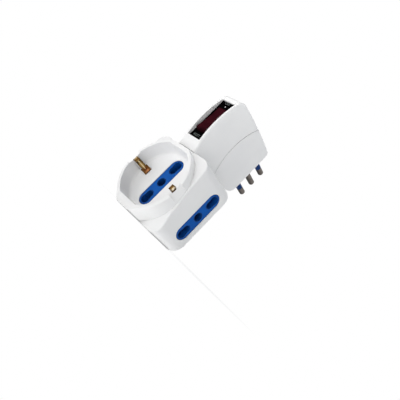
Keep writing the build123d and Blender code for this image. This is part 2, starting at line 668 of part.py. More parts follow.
def bimetal_strip():
    """Overload strip that stands on the inner end of the lower terminal."""
    low = LOWER_TERMINAL_Z + TERMINAL_THICKNESS / 2
    strip = Rectangle(TERMINAL_WIDTH, BIMETAL_THICKNESS)
    return along_y(strip, CASE_INNER_Y - BIMETAL_HEIGHT, CASE_INNER_Y, z=low + BIMETAL_THICKNESS / 2)


def lying_tube(radius, length, x):
    """Small round component that lies on the floor of the switch case, along Z, with rounded ends."""
    tube = Cylinder(radius, length)
    tube = fillet(tube.edges().filter_by(GeomType.CIRCLE), radius / 2)
    return Pos(x, CASE_INNER_Y - radius, SWITCH_HEIGHT) * tube


def neon_lamp():
    """Indicator lamp under the rocker."""
    return lying_tube(LAMP_RADIUS, LAMP_LENGTH, -LAMP_RADIUS)


def lamp_resistor():
    """Series resistor beside the lamp."""
    return lying_tube(RESISTOR_RADIUS, RESISTOR_LENGTH, RESISTOR_RADIUS + MOVING_CLEARANCE)


# Contacts and leads


def contact_strip(offset, tab_x):
    """Folded brass strip of one pole: a web with a pair of spring leaves behind each of the three sockets."""
    pole_z = SOCKET_Z + offset
    web_top = pole_z - LEAF_HALF_HEIGHT
    web_bottom = web_top - STRIP_THICKNESS
    side_low = SIDE_SOCKET_Y - LEAF_OUTER
    side_high = SIDE_SOCKET_Y + LEAF_OUTER
    strip = box_between((-LEAF_OUTER, LEAF_FRONT_Y, web_bottom), (LEAF_OUTER, side_high, web_top))
    strip += box_between((-LEAF_SIDE_X, side_low, web_bottom), (LEAF_SIDE_X, side_high, web_top))
    tab_back = LEAD_Y + TAB_WIDTH / 2
    tab_half = TAB_WIDTH / 2
    strip += box_between((tab_x - tab_half, SIDE_SOCKET_Y, web_bottom), (tab_x + tab_half, tab_back, web_top))
    for side in (-1, 1):
        near, far = sorted((side * LEAF_GAP / 2, side * LEAF_OUTER))
        leaf_back = LEAF_FRONT_Y + LEAF_LENGTH
        leaf_top = pole_z + LEAF_HALF_HEIGHT
        strip += box_between((near, LEAF_FRONT_Y, web_bottom), (far, leaf_back, leaf_top))
        for outer_x in (LEAF_SIDE_X, -LEAF_SIDE_X + LEAF_LENGTH):
            low = (outer_x - LEAF_LENGTH, SIDE_SOCKET_Y + near, web_bottom)
            strip += box_between(low, (outer_x, SIDE_SOCKET_Y + far, leaf_top))
    return strip


def clip_line():
    """Centre line (x, y) of half the earth bracket, from the middle of its strap to the tip of its clip."""
    strap_y = BRACKET_Y + STRIP_THICKNESS / 2
    neck_y = FLOOR_Y - CLIP_HEIGHT
    return Polyline(
        (0, strap_y),
        (CLIP_ROOT_X, strap_y),
        (CLIP_ROOT_X, FLOOR_Y),
        (CLIP_LEAF_X, FLOOR_Y - CLIP_FOOT_HEIGHT),
        (CLIP_LEAF_X + CLIP_LEAN, neck_y),
        (RECESS_RADIUS - STRIP_THICKNESS, neck_y - CLIP_TIP_RISE),
    )


def earth_bracket():
    """Brass strap behind the front insert whose two ends stand in the recess as earth clips."""
    half = trace(clip_line(), line_width=STRIP_THICKNESS)
    bracket = along_z(half, SOCKET_Z - BRACKET_WIDTH / 2, SOCKET_Z + BRACKET_WIDTH / 2)
    bracket += mirror(bracket, Plane.YZ)
    bracket += along_y(Circle(BRACKET_EYE_RADIUS), BRACKET_Y, BRACKET_Y + STRIP_THICKNESS, z=SOCKET_Z)
    neck_side = (BRACKET_WIDTH - CLIP_NECK_WIDTH) / 2
    for side in (-1, 1):
        z = SOCKET_Z + side * (CLIP_NECK_WIDTH + neck_side) / 2
        trim = Rectangle(2 * RECESS_RADIUS, neck_side)
        bracket -= along_y(trim, RIM_Y, FLOOR_Y - CLIP_FOOT_HEIGHT, z=z)
    hole = Circle(BRACKET_HOLE / 2)
    return bracket - along_y(hole, BRACKET_Y - OVERCUT, BRACKET_Y + STRIP_THICKNESS + OVERCUT, z=SOCKET_Z)


def bracket_spaces():
    """Room for the clips: slots through the recess floor and shallow channels up the recess wall."""
    slot = Rectangle(STRIP_THICKNESS + 4 * FIT_CLEARANCE, BRACKET_WIDTH + 2 * FIT_CLEARANCE)
    channel = Rectangle(2 * CLIP_CHANNEL_DEPTH, BRACKET_WIDTH + 2 * FIT_CLEARANCE)
    channel_top = RIM_Y + NOTCH_INNER_DEPTH + CLIP_BRIDGE
    strap_back = BRACKET_Y + STRIP_THICKNESS + FIT_CLEARANCE
    spaces = []
    for side in (-1, 1):
        slot_x = side * CLIP_ROOT_X
        spaces.append(along_y(slot, FLOOR_Y - OVERCUT, strap_back, slot_x, SOCKET_Z))
        spaces.append(along_y(channel, channel_top, FLOOR_Y, side * RECESS_RADIUS, SOCKET_Z))
    return spaces


def lead(*points):
    """Round insulated lead along straight runs with rounded bends."""
    path = Line(*points) if len(points) == 2 else FilletPolyline(*points, radius=LEAD_BEND)
    section = Plane(origin=path @ 0, z_dir=path % 0) * Circle(LEAD_RADIUS)
    return sweep(section, path=path)


def pin_lead():
    """From the upper pin to the upper side of the switch's upper terminal."""
    z = UPPER_TERMINAL_Z + TERMINAL_THICKNESS / 2 + LEAD_RADIUS
    return lead(
        (0, PIN_TAIL_Y, PIN_PITCH),
        (0, PIN_TAIL_Y - LEAD_BEND, PIN_PITCH),
        (0, CASE_BACK_Y + TERMINAL_REACH + LEAD_BEND, z),
        (0, CASE_BACK_Y + FIT_CLEARANCE, z),
    )


def strip_end(offset):
    """Height where a lead meets the tab of a contact strip."""
    return SOCKET_Z + offset - LEAF_HALF_HEIGHT


def switch_lead():
    """From the switch down to the upper contact strip."""
    z = LOWER_TERMINAL_Z - TERMINAL_THICKNESS / 2 - LEAD_RADIUS
    turn_y = CASE_BACK_Y + TERMINAL_REACH + LEAD_BEND
    drop = 2 * LEAD_BEND
    return lead(
        (0, CASE_BACK_Y + FIT_CLEARANCE, z),
        (0, turn_y, z),
        (-LEAD_SPREAD, LEAD_Y, z - drop),
        (-LEAD_SPREAD, LEAD_Y, strip_end(OUTER_HOLE_OFFSET)),
    )


def earth_lead():
    """From the earth pin down to the middle contact strip."""
    return lead((0, PIN_TAIL_Y, 0), (0, LEAD_Y, 0), (0, LEAD_Y, strip_end(0)))


def lower_lead():
    """From the lower pin down to the lower contact strip."""
    stub_y = PIN_TAIL_Y - LEAD_BEND
    return lead(
        (0, PIN_TAIL_Y, -PIN_PITCH),
        (0, stub_y, -PIN_PITCH),
        (LEAD_SPREAD, LEAD_Y, -PIN_PITCH),
        (LEAD_SPREAD, LEAD_Y, strip_end(-OUTER_HOLE_OFFSET)),
    )


def parts():
    """Every piece by its name."""
    pieces = {
        "socket_housing": socket_housing(),
        "back_cover": back_cover(),
        "cover_screws": cover_screws(),
        "neck_screws": neck_screws(),
        "plug_front_shell": plug_front_shell(),
        "plug_rear_shell": plug_rear_shell(),
        "earth_pin": pin(0),
        "upper_pin": pin(1),
        "lower_pin": pin(-1),
        "upper_pin_sleeve": pin_sleeve(1),
        "lower_pin_sleeve": pin_sleeve(-1),
        "pin_carrier": pin_carrier(),
        "switch_frame": switch_frame(),
        "switch_case": switch_case(),
        "switch_rocker": rocker(),
        "rocker_pivot": rocker_pivot(),
        "upper_terminal": terminal(UPPER_TERMINAL_Z),
        "lower_terminal": terminal(LOWER_TERMINAL_Z),
        "bimetal_strip": bimetal_strip(),
        "neon_lamp": neon_lamp(),
        "lamp_resistor": lamp_resistor(),
        "upper_contact_strip": contact_strip(OUTER_HOLE_OFFSET, -LEAD_SPREAD),
        "earth_contact_strip": contact_strip(0, 0),
        "lower_contact_strip": contact_strip(-OUTER_HOLE_OFFSET, LEAD_SPREAD),
        "earth_bracket": earth_bracket(),
        "pin_lead": pin_lead(),
        "switch_lead": switch_lead(),
        "earth_lead": earth_lead(),
        "lower_lead": lower_lead(),
    }
    for name, place in insert_places().items():
        pieces[name] = place * socket_insert()
    return pieces


os.makedirs("parts", exist_ok=True)
for name, piece in parts().items():
    shape = Compound(children=piece) if isinstance(piece, list) else piece
    export_step(shape, f"parts/{name}.step")
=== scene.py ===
"""Looks of a plug-in multi socket adapter with a rocker switch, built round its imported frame."""

import logging
import math
from dataclasses import dataclass, field
from enum import Enum

import bmesh
import bpy
from mathutils import Matrix, Vector
from mathutils.bvhtree import BVHTree


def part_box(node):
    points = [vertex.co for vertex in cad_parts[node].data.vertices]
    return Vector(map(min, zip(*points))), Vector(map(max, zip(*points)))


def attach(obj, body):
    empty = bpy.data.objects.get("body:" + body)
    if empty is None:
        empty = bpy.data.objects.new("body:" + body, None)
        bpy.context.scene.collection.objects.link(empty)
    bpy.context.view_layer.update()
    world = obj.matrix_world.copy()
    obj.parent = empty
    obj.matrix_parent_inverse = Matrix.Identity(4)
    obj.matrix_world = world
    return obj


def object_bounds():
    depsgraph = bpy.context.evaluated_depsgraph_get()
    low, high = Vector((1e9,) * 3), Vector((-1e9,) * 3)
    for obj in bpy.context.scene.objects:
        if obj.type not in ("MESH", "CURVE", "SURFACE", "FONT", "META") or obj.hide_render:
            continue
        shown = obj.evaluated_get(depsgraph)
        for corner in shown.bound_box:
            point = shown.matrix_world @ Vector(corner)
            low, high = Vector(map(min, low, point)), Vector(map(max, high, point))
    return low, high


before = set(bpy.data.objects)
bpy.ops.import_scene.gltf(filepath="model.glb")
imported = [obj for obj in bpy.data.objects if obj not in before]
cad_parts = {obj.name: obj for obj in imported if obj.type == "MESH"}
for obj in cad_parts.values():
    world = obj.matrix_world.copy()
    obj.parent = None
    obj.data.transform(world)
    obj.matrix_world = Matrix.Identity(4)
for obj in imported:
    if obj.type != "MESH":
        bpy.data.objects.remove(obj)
CAD_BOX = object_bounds()

LOG = logging.getLogger("adapter")
MM = 0.001
QUARTER_TURN = math.pi / 2
FULL_TURN = 2 * math.pi

PLASTIC_INDEX = 1.49
GLASS_INDEX = 1.5

# Where most of a noise texture's values lie, and the octaves it has unless told otherwise.
NOISE_RANGE = (0.3, 0.7)
NOISE_DETAIL = 3.0
# Rays that look round a point for crevices and for edges.
CREVICE_SAMPLES = 8
EDGE_SAMPLES = 6
# How well the rounded and the flat normal agree on an edge and on a free face.
EDGE_MATCH = (0.9, 0.998)
# The colour sockets of the mix node, whose names its other kinds share.
MIX_SHARE, MIX_LOW, MIX_HIGH, MIX_RESULT = 0, 6, 7, 2

Colour = tuple[float, float, float, float]
Point = tuple[float, float, float]
Pair = tuple[float, float]
Socket = bpy.types.NodeSocket


class Body(Enum):
    """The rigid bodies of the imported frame."""

    ADAPTER = "adapter_body"
    ROCKER = "rocker"


class Slot(Enum):
    """The record's material slots that new pieces take."""

    BRASS = "brass"
    BLACK = "black_plastic"
    RED = "red_plastic"


class Word(Enum):
    """The generic words on the switch frame."""

    RESET = "RESET"
    OFF = "OFF"


class Side(Enum):
    """The two sides of the round recess, by the sign of X."""

    LEFT = -1
    RIGHT = 1


class Axis(Enum):
    """An axis of the shared frame."""

    X = "X"
    Y = "Y"
    Z = "Z"


class Grain(Enum):
    """How fine a moulded surface is: cells of its grain per metre."""

    SATIN = 2600.0
    SPARK = 4200.0


def plain(red: float, green: float, blue: float) -> Colour:
    """An opaque linear colour."""
    return (red, green, blue, 1.0)


def grey(level: float) -> Colour:
    """An opaque grey, from 0 for black to 1 for white."""
    return plain(level, level, level)


class MaterialSheet:
    """The nodes of one material, wired into its main shader."""

    def __init__(self, name: str) -> None:
        """Start a material with nothing but its shader.

        Args:
            name: the material's name.
        """
        self.material = bpy.data.materials.new(name)
        self.material.use_nodes = True
        self.tree = self.material.node_tree
        self.shader = self.tree.nodes["Principled BSDF"]
        self.place = self.add("ShaderNodeTexCoord").outputs["Object"]

    def add(self, kind: str, **settings: object) -> bpy.types.Node:
        """Add a node and set its properties.

        Args:
            kind: the node's type.
            settings: its properties.

        Returns:
            The new node.
        """
        node = self.tree.nodes.new(kind)
        for key, value in settings.items():
            setattr(node, key, value)
        return node

    def link(self, source: Socket, target: Socket) -> None:
        """Wire one socket to another."""
        self.tree.links.new(source, target)

    def feed(self, source: Socket, name: str) -> None:
        """Wire a socket into the shader's socket of that name."""
        self.link(source, self.shader.inputs[name])

    def set(self, **values: object) -> None:
        """Set plain values on the shader's own sockets, with _ for a space in their names."""
        for key, value in values.items():
            self.shader.inputs[key.replace("_", " ")].default_value = value

    def stretched(self, scale: Point) -> Socket:
        """Object coordinates stretched along the axes.

        Args:
            scale: the factor along each axis.

        Returns:
            The coordinates' socket.
        """
        mapping = self.add("ShaderNodeMapping")
        mapping.inputs["Scale"].default_value = scale
        self.link(self.place, mapping.inputs["Vector"])
        return mapping.outputs["Vector"]

    def along(self, axis: Axis) -> Socket:
        """The place along one axis.

        Args:
            axis: the axis.

        Returns:
            The socket of the place, in metres.
        """
        split = self.add("ShaderNodeSeparateXYZ")
        self.link(self.place, split.inputs["Vector"])
        return split.outputs[axis.value]

    def apart(self, axis: Axis, middle: float = 0.0) -> Socket:
        """How far the surface lies from a middle along one axis, on either side.

        Args:
            axis: the axis.
            middle: where the middle is on it, in metres.

        Returns:
            The distance's socket, in metres.
        """
        place = self.along(axis)
        if middle:
            offset = self.add("ShaderNodeMath", operation="SUBTRACT")
            offset.inputs[1].default_value = middle
            self.link(place, offset.inputs[0])
            place = offset.outputs["Value"]
        distance = self.add("ShaderNodeMath", operation="ABSOLUTE")
        self.link(place, distance.inputs[0])
        return distance.outputs["Value"]

    def noise(
        self, scale: float, detail: float = NOISE_DETAIL, place: Socket | None = None
    ) -> Socket:
        """Noise over the surface.

        Args:
            scale: cells per metre.
            detail: octaves of finer noise.
            place: other coordinates than the object's own.

        Returns:
            The noise value's socket.
        """
        node = self.add("ShaderNodeTexNoise")
        node.inputs["Scale"].default_value = scale
        node.inputs["Detail"].default_value = detail
        self.link(place or self.place, node.inputs["Vector"])
        return node.outputs["Fac"]

    def ramp(self, value: Socket, stops: list[tuple[float, Colour]]) -> Socket:
        """Turn a value into a colour.

        Args:
            value: what is turned.
            stops: values and their colours, in order.

        Returns:
            The colour's socket.
        """
        node = self.add("ShaderNodeValToRGB")
        elements = node.color_ramp.elements
        while len(elements) < len(stops):
            elements.new(0.5)
        for element, (position, colour) in zip(elements, stops):
            element.position = position
            element.color = colour
        self.link(value, node.inputs["Fac"])
        return node.outputs["Color"]

    def clouds(self, scale: float, detail: float, ends: Pair, low: Colour, high: Colour) -> Socket:
        """Two colours that run into each other in soft clouds.

        Args:
            scale: clouds per metre.
            detail: octaves of finer noise.
            ends: the noise values that give low and high.
            low: the colour of low noise.
            high: the colour of high noise.

        Returns:
            The colour's socket.
        """
        start, end = ends
        return self.ramp(self.noise(scale, detail), [(start, low), (end, high)])

    def spread(
        self,
        value: Socket,
        low: float,
        high: float,
        start: float = NOISE_RANGE[0],
        end: float = NOISE_RANGE[1],
    ) -> Socket:
        """Map a value onto a range.

        Args:
            value: what is mapped.
            low: the result at start.
            high: the result at end.
            start: the value that gives low.
            end: the value that gives high.

        Returns:
            The mapped value's socket.
        """
        node = self.add("ShaderNodeMapRange")
        node.inputs["From Min"].default_value = start
        node.inputs["From Max"].default_value = end
        node.inputs["To Min"].default_value = low
        node.inputs["To Max"].default_value = high
        self.link(value, node.inputs["Value"])
        return node.outputs["Result"]

    def mixed(self, share: Socket, low: Socket | Colour, high: Socket | Colour) -> Socket:
        """Blend two colours by a share.

        Args:
            share: 0 for low, 1 for high.
            low: a colour or a socket.
            high: a colour or a socket.

        Returns:
            The blended colour's socket.
        """
        node = self.add("ShaderNodeMix", data_type="RGBA")
        self.link(share, node.inputs[MIX_SHARE])
        for index, colour in ((MIX_LOW, low), (MIX_HIGH, high)):
            if isinstance(colour, tuple):
                node.inputs[index].default_value = colour
            else:
                self.link(colour, node.inputs[index])
        return node.outputs[MIX_RESULT]

    def openness(self, reach: float) -> Socket:
        """How open the surface is within a reach.

        Args:
            reach: how far it looks round, in metres.

        Returns:
            The socket of a share: 0 deep in a hole, 1 on a free face.
        """
        node = self.add("ShaderNodeAmbientOcclusion", samples=CREVICE_SAMPLES)
        node.inputs["Distance"].default_value = reach
        return node.outputs["AO"]

    def rounded(self, radius: float) -> Socket:
        """The surface's normal with its edges rounded.

        Args:
            radius: the edges' radius, in metres.

        Returns:
            The normal's socket.
        """
        node = self.add("ShaderNodeBevel", samples=EDGE_SAMPLES)
        node.inputs["Radius"].default_value = radius
        return node.outputs["Normal"]

    def edges(self, width: float) -> Socket:
        """How near the surface is to one of its edges.

        Args:
            width: how far from an edge it still counts, in metres.

        Returns:
            The socket of a share: 0 on a free face, 1 on the edge.
        """
        flat = self.add("ShaderNodeNewGeometry")
        agree = self.add("ShaderNodeVectorMath", operation="DOT_PRODUCT")
        self.link(self.rounded(width), agree.inputs[0])
        self.link(flat.outputs["Normal"], agree.inputs[1])
        return self.spread(agree.outputs["Value"], 1.0, 0.0, *EDGE_MATCH)

    def bump(self, height: Socket, strength: float, depth: float, edge: float) -> None:
        """Raise the surface's normal by a height, over edges rounded to a small radius.

        Args:
            height: the height as a share of the depth.
            strength: how much of it shows.
            depth: the depth in metres.
            edge: the radius of sharp edges in metres.
        """
        node = self.add("ShaderNodeBump")
        node.inputs["Strength"].default_value = strength
        node.inputs["Distance"].default_value = depth
        self.link(height, node.inputs["Height"])
        self.link(self.rounded(edge), node.inputs["Normal"])
        self.feed(node.outputs["Normal"], "Normal")


@dataclass(frozen=True)
class MouldedPlastic:
    """Injection-moulded plastic with a fine tool grain, faint flow patches and soft edges.

    A painted shade colour darkens its holes and crevices, where less light reaches, and a second
    painted shade colour darkens a band along its edges.
    """

    name: str
    light: Colour
    dark: Colour
    gloss: Pair
    grain: Grain = Grain.SATIN
    grain_detail: float = 2.0
    grain_strength: float = 0.12
    grain_depth: float = 0.02 * MM
    gloss_cells: float = 4.0
    patch_scale: float = 70.0
    patch_detail: float = 4.0
    patch_ends: Pair = (0.35, 0.65)
    shine: float = 0.5
    edge: float = 0.25 * MM
    # Painted shade in holes and crevices: its colour, how far it looks round, and the openness
    # that gives full shade and none.
    hollow_shade: Colour | None = None
    hollow_shade_reach: float = 5.0 * MM
    hollow_shade_from: Pair = (0.3, 0.8)
    # Painted shade along edges: its colour and how wide the band is.
    edge_shade: Colour | None = None
    edge_shade_width: float = 1.1 * MM

    def build(self) -> bpy.types.Material:
        """Make the material.

        Returns:
            The material.
        """
        sheet = MaterialSheet(self.name)
        skin = sheet.clouds(
            self.patch_scale, self.patch_detail, self.patch_ends, self.dark, self.light
        )
        # Painted shade: a darker band along the edges.
        if self.edge_shade:
            skin = sheet.mixed(sheet.edges(self.edge_shade_width), skin, self.edge_shade)
        # Painted shade: darker the more closed in the surface is.
        if self.hollow_shade:
            unshaded_share = sheet.spread(sheet.openness(self.hollow_shade_reach), 0.0, 1.0, *self.hollow_shade_from)
            skin = sheet.mixed(unshaded_share, self.hollow_shade, skin)
        sheet.feed(skin, "Base Color")
        gloss = sheet.noise(self.grain.value / self.gloss_cells)
        sheet.feed(sheet.spread(gloss, *self.gloss), "Roughness")
        grain = sheet.noise(self.grain.value, self.grain_detail)
        sheet.bump(grain, self.grain_strength, self.grain_depth, self.edge)
        sheet.set(IOR=PLASTIC_INDEX, Specular_IOR_Level=self.shine)
        return sheet.material


@dataclass(frozen=True)
class RolledMetal:
    """Rolled or plated metal, with fine streaks along one axis and darker stains."""

    name: str
    light: Colour
    dark: Colour
    gloss: Pair
    stain_scale: float = 220.0
    stain_detail: float = 5.0
    stain_ends: Pair = (0.3, 0.62)
    streaks: Point = (1.0, 1.0, 12.0)
    streak_scale: float = 500.0
    streak_detail: float = 4.0
    streak_strength: float = 0.15
    streak_depth: float = 0.03 * MM
    edge: float = 0.15 * MM

    def build(self) -> bpy.types.Material:
        """Make the material.

        Returns:
            The material.
        """
        sheet = MaterialSheet(self.name)
        metal = sheet.clouds(
            self.stain_scale, self.stain_detail, self.stain_ends, self.dark, self.light
        )
        sheet.feed(metal, "Base Color")
        lines = sheet.noise(self.streak_scale, self.streak_detail, sheet.stretched(self.streaks))
        sheet.feed(sheet.spread(lines, *self.gloss), "Roughness")
        sheet.bump(lines, self.streak_strength, self.streak_depth, self.edge)
        sheet.set(Metallic=1.0)
        return sheet.material


@dataclass(frozen=True)
class HighlitPin:
    """Nickel-plated pin, dull all round, with a painted highlight on its two sides along X and
    painted shade where it turns towards Z.
    """

    name: str
    bright: Colour
    dull: Colour
    radius: float
    # Where the painted highlight begins and where it is full, as shares of the radius away from X
    # = 0.
    highlight_band: Pair = (0.4, 1.0)
    gloss: Pair = (0.34, 0.52)
    stain_scale: float = 220.0
    stain_detail: float = 5.0
    stain_most: float = 0.5
    stain_from: Pair = (0.4, 0.7)
    rings: Point = (1.0, 14.0, 1.0)
    ring_scale: float = 500.0
    ring_detail: float = 4.0
    ring_strength: float = 0.15
    ring_depth: float = 0.03 * MM
    edge: float = 0.15 * MM

    def build(self) -> bpy.types.Material:
        """Make the material.

        Returns:
            The material.
        """
        sheet = MaterialSheet(self.name)
        # Painted highlight: bright where the pin faces along X, dull where it turns towards Z.
        start, end = (share * self.radius for share in self.highlight_band)
        highlight_share = sheet.spread(sheet.apart(Axis.X), 0.0, 1.0, start, end)
        metal = sheet.mixed(highlight_share, self.dull, self.bright)
        stains = sheet.noise(self.stain_scale, self.stain_detail)
        stain_share = sheet.spread(stains, 0.0, self.stain_most, *self.stain_from)
        sheet.feed(sheet.mixed(stain_share, metal, self.dull), "Base Color")
        rings = sheet.noise(self.ring_scale, self.ring_detail, sheet.stretched(self.rings))
        sheet.feed(sheet.spread(rings, *self.gloss), "Roughness")
        sheet.bump(rings, self.ring_strength, self.ring_depth, self.edge)
        sheet.set(Metallic=1.0)
        return sheet.material


@dataclass(frozen=True)
class ShadedTarnishedBrass:
    """Brass strip of the earth clips, with painted light in its tones: a painted dark reflection
    at its roots with a painted glint low on the foot, painted shade at its bends, a painted
    highlight at its outer ends and painted dark reflections along both edges of the leaf.

    Its tones follow each other from root_x to end_x on both sides, at the shares in places.
    """

    name: str
    root: Colour
    foot_glint: Colour
    leaf: Colour
    bend: Colour
    end: Colour
    tarnish_and_shade: Colour
    root_x: float
    end_x: float
    middle_z: float
    places: tuple[float, ...] = (0.0, 0.09, 0.22, 0.38, 0.42, 0.48, 0.55, 0.68, 0.8, 0.95)
    band_shade_from: Pair = (0.6 * MM, 1.5 * MM)
    band_shade_most: float = 0.85
    gloss: Pair = (0.16, 0.32)
    streaks: Point = (1.0, 0.15, 3.0)
    streak_scale: float = 420.0
    streak_detail: float = 4.0
    streak_most: float = 0.6
    streak_from: Pair = (0.45, 0.68)
    streak_strength: float = 0.2
    streak_depth: float = 0.03 * MM
    edge: float = 0.2 * MM

    def tones(self) -> list[tuple[float, Colour]]:
        """The strip's colours and their places, from its root to its end.

        Returns:
            Shares of the way and their colours.
        """
        # Painted light: the dark root tone is a painted reflection, the second tone a painted
        # glint on the foot, the bend tone painted shade and the last tone a painted highlight.
        clip = (self.root, self.foot_glint, self.root, self.root, self.leaf, self.leaf)
        tip = (self.bend, self.bend, self.leaf, self.end)
        return list(zip(self.places, clip + tip))

    def build(self) -> bpy.types.Material:
        """Make the material.

        Returns:
            The material.
        """
        sheet = MaterialSheet(self.name)
        way = sheet.spread(sheet.apart(Axis.X), 0.0, 1.0, self.root_x, self.end_x)
        metal = sheet.ramp(way, self.tones())
        # Painted reflection: dark bands along both edges of the leaf.
        from_middle = sheet.apart(Axis.Z, self.middle_z)
        band_shade_share = sheet.spread(from_middle, 0.0, self.band_shade_most, *self.band_shade_from)
        metal = sheet.mixed(band_shade_share, metal, self.tarnish_and_shade)
        lines = sheet.noise(self.streak_scale, self.streak_detail, sheet.stretched(self.streaks))
        # Real streaks of tarnish take the same dark colour.
        streak_share = sheet.spread(lines, 0.0, self.streak_most, *self.streak_from)
        sheet.feed(sheet.mixed(streak_share, metal, self.tarnish_and_shade), "Base Color")
        sheet.feed(sheet.spread(lines, *self.gloss), "Roughness")
        sheet.bump(lines, self.streak_strength, self.streak_depth, self.edge)
        sheet.set(Metallic=1.0)
        return sheet.material


@dataclass(frozen=True)
class SmokedRocker:
    """Dark red smoked plastic of the rocker, black at its far end and dark at the raised one."""

    name: str
    red: Colour
    deep: Colour
    black: Colour
    black_from: float
    dark_to: Pair
    dark_most: float = 0.85
    blend: float = 0.4 * MM
    cloud_scale: float = 160.0
    cloud_detail: float = 3.0
    cloud_ends: Pair = (0.35, 0.7)
    gloss: Pair = (0.22, 0.34)
    gloss_scale: float = 900.0
    grain_scale: float = 1500.0
    grain_detail: float = 2.0
    grain_strength: float = 0.08
    grain_depth: float = 0.02 * MM
    edge: float = 0.2 * MM

    def build(self) -> bpy.types.Material:
        """Make the material.

        Returns:
            The material.
        """
        sheet = MaterialSheet(self.name)
        skin = sheet.clouds(
            self.cloud_scale, self.cloud_detail, self.cloud_ends, self.deep, self.red
        )
        raised_share = sheet.spread(sheet.along(Axis.Z), self.dark_most, 0.0, *self.dark_to)
        skin = sheet.mixed(raised_share, skin, self.black)
        start, end = self.black_from - self.blend, self.black_from + self.blend
        end_share = sheet.spread(sheet.along(Axis.Z), 0.0, 1.0, start, end)
        sheet.feed(sheet.mixed(end_share, skin, self.black), "Base Color")
        sheet.feed(sheet.spread(sheet.noise(self.gloss_scale), *self.gloss), "Roughness")
        grain = sheet.noise(self.grain_scale, self.grain_detail)
        sheet.bump(grain, self.grain_strength, self.grain_depth, self.edge)
        sheet.set(IOR=PLASTIC_INDEX, Specular_IOR_Level=0.0)
        return sheet.material


@dataclass(frozen=True)
class LeadSheath:
    """Extruded sheath of a lead, with a second colour along it where the lead has one."""

    name: str
    main: Colour
    band: Colour
    pitch: float = 320.0
    waver: float = 0.6
    band_ends: Pair = (0.48, 0.52)
    gloss: Pair = (0.4, 0.55)
    gloss_scale: float = 1800.0

    def build(self) -> bpy.types.Material:
        """Make the material.

        Returns:
            The material.
        """
        sheet = MaterialSheet(self.name)
        wave = sheet.add("ShaderNodeTexWave", wave_type="BANDS", bands_direction="X")
        wave.inputs["Scale"].default_value = self.pitch
        wave.inputs["Distortion"].default_value = self.waver
        sheet.link(sheet.place, wave.inputs["Vector"])
        start, end = self.band_ends
        bands = sheet.ramp(wave.outputs["Fac"], [(start, self.main), (end, self.band)])
        sheet.feed(bands, "Base Color")
        sheet.feed(sheet.spread(sheet.noise(self.gloss_scale), *self.gloss), "Roughness")
        return sheet.material


@dataclass(frozen=True)
class LampGlass:
    """Clear glass of the small lamp, faintly coloured by its electrodes."""

    name: str
    tint: Colour
    clear: Colour
    cloud_scale: float = 300.0
    cloud_detail: float = 2.0
    clearness: float = 0.9
    roughness: float = 0.05

    def build(self) -> bpy.types.Material:
        """Make the material.

        Returns:
            The material.
        """
        sheet = MaterialSheet(self.name)
        tint = sheet.clouds(
            self.cloud_scale, self.cloud_detail, NOISE_RANGE, self.tint, self.clear
        )
        sheet.feed(tint, "Base Color")
        sheet.set(Transmission_Weight=self.clearness, Roughness=self.roughness, IOR=GLASS_INDEX)
        return sheet.material


@dataclass(frozen=True)
class PrintInk:
    """Pad-printed ink, slightly worn."""

    name: str
    fresh: Colour
    worn: Colour
    wear_scale: float = 2200.0
    wear_detail: float = 4.0
    wear_ends: Pair = (0.3, 0.55)
    gloss: Pair = (0.5, 0.7)
    gloss_scale: float = 3000.0
    shine: float = 0.2

    def build(self) -> bpy.types.Material:
        """Make the material.

        Returns:
            The material.
        """
        sheet = MaterialSheet(self.name)
        ink = sheet.clouds(
            self.wear_scale, self.wear_detail, self.wear_ends, self.worn, self.fresh
        )
        sheet.feed(ink, "Base Color")
        sheet.feed(sheet.spread(sheet.noise(self.gloss_scale), *self.gloss), "Roughness")
        sheet.set(Specular_IOR_Level=self.shine)
        return sheet.material


